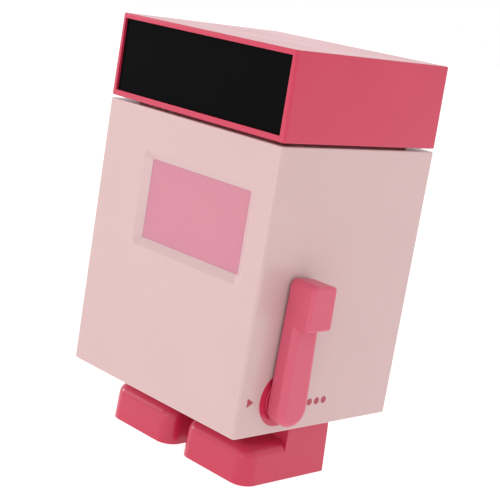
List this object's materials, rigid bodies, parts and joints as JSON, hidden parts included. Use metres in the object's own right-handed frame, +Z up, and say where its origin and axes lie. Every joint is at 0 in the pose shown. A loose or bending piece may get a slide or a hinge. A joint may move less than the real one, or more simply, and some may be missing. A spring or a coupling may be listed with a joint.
{
  "type": "digital coin counting jar",
  "caption": "Box-bodied toy robot coin bank: counting head with a black display lifts off a jar with a chest window; lever arms, L-shaped feet.",
  "frame": {"origin": "on the surface the robot stands on, under the middle of its body", "axes": "+Z up, -Y towards the face and the display, +X towards the right of somebody who looks at the face"},
  "size_m": [0.136, 0.095, 0.1856],
  "materials": {
    "pale_pink": "fine satin moulded plastic",
    "deep_pink": "satin moulded plastic",
    "arm_pink": "soft satin moulded plastic",
    "mark_pink": "flush coloured inlay",
    "display_black": "smoked, polished",
    "window_pink": "translucent, polished",
    "sole_rubber": "matt",
    "screw_steel": "zinc plated",
    "contact_brass": "plated",
    "board_green": "solder mask",
    "part_black": "moulded",
    "lever_white": "moulded, low friction",
    "cell_wrap": "wrapped cell, its density chosen near that of a real cell",
    "cable_film": "flat film cable"
  },
  "bodies": {
    "jar": {"body_shell": "pale_pink", "chest_window": "window_pink", "right_marks": "mark_pink", "left_marks": "mark_pink", "coin_floor": "pale_pink", "body_base": "pale_pink", "base_screws": "screw_steel", "foot_screws": "screw_steel", "right_foot": "deep_pink", "left_foot": "deep_pink", "right_sole": "sole_rubber", "left_sole": "sole_rubber", "right_hub_ring": "deep_pink", "left_hub_ring": "deep_pink", "right_arm_switch": "part_black", "left_arm_switch": "part_black", "contact_studs": "contact_brass", "flat_cable": "cable_film"},
    "right_arm": {"right_arm": "arm_pink", "right_arm_shaft": "deep_pink", "right_arm_screw": "screw_steel", "right_arm_clip": "screw_steel"},
    "left_arm": {"left_arm": "arm_pink", "left_arm_shaft": "deep_pink", "left_arm_screw": "screw_steel", "left_arm_clip": "screw_steel"},
    "head": {"head_shell": "deep_pink", "display_panel": "display_black", "display_frame": "part_black", "display_module": "part_black", "main_board": "board_green", "main_chip": "part_black", "buzzer": "part_black", "board_screws": "screw_steel", "lid_plate": "deep_pink", "lid_screws": "screw_steel", "contact_pins": "contact_brass", "coin_chute": "pale_pink", "lever_spring": "screw_steel", "coin_sensor": "part_black", "battery_case": "part_black", "batteries": "cell_wrap", "battery_contacts": "contact_brass", "reset_switch": "part_black", "button_board": "board_green"},
    "coin_lever": {"coin_lever": "lever_white", "lever_pin": "screw_steel"},
    "battery_door": {"battery_door": "deep_pink", "door_screw": "screw_steel"},
    "reset_button": {"reset_button": "pale_pink"}
  },
  "joints": [
    {"name": "right_arm_swing", "type": "hinge", "parent": "jar", "child": "right_arm", "pos_m": [0.0535, -0.0239, 0.0436], "axis": [1, 0, 0], "range_deg": [-90, 90]},
    {"name": "left_arm_swing", "type": "hinge", "parent": "jar", "child": "left_arm", "pos_m": [-0.0535, -0.0239, 0.0436], "axis": [1, 0, 0], "range_deg": [-90, 90]},
    {"name": "head_lift", "type": "slide", "parent": "jar", "child": "head", "axis": [0, 0, 1], "range_m": [0, 0.05]},
    {"name": "coin_lever_swing", "type": "hinge", "parent": "head", "child": "coin_lever", "pos_m": [0.0225, 0.004, 0.17435], "axis": [0, -1, 0], "range_deg": [0, 50], "stiffness_Nm_per_rad": 0.0006, "springref_deg": -28.65},
    {"name": "battery_door_pull", "type": "slide", "parent": "head", "child": "battery_door", "axis": [0, 1, 0], "range_m": [0, 0.02]},
    {"name": "reset_press", "type": "slide", "parent": "head", "child": "reset_button", "axis": [0, -1, 0], "range_m": [0, 0.001], "stiffness_N_per_m": 500, "springref_m": -0.001}
  ]
}
